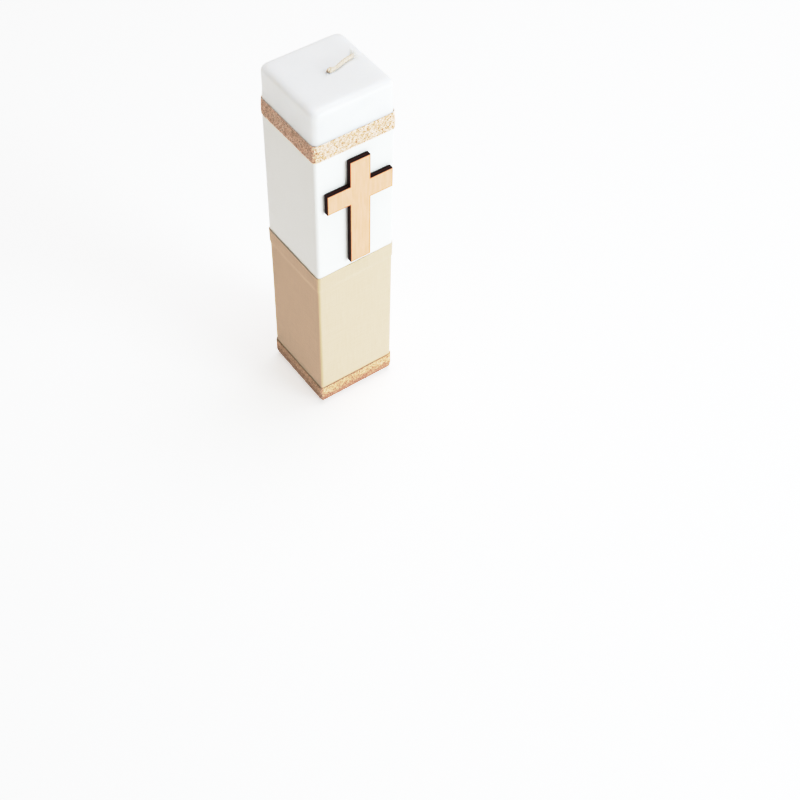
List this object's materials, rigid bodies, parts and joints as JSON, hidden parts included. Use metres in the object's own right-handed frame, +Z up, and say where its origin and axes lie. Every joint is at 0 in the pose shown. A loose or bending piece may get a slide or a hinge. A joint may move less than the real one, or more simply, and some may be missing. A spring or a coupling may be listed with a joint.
{
  "type": "square pillar candle",
  "caption": "Square pillar candle in white and beige cloth with twine bands, a wooden cross and a bent wick that lifts upright to be lit.",
  "frame": {"origin": "middle of the candle's flat base, on the surface that it stands on", "axes": "+Z up along the candle, -Y out of the face that carries the cross, +X to the right of that face"},
  "size_m": [0.051, 0.0536, 0.2215],
  "materials": {
    "wax": "satin",
    "wick": "matte",
    "tin": "satin",
    "white_cloth": "matte",
    "beige_cloth": "matte",
    "twine": "matte",
    "wood": "matte",
    "tape": "satin"
  },
  "bodies": {
    "candle": {"wax_pillar": "wax", "wick_core": "wick", "wick_clip": "tin", "white_cloth": "white_cloth", "white_seam_tape": "tape", "beige_cloth": "beige_cloth", "beige_seam_tape": "tape", "upper_twine": "twine", "lower_twine": "twine", "wooden_cross": "wood", "cross_tape_lower": "tape", "cross_tape_upper": "tape"},
    "wick_end": {"wick_tip": "wick"}
  },
  "joints": [
    {"name": "wick_lift", "type": "hinge", "parent": "candle", "child": "wick_end", "pos_m": [0, -0.0015, 0.22], "axis": [0.1908, -0.9816, 0], "range_deg": [0, 90]}
  ]
}
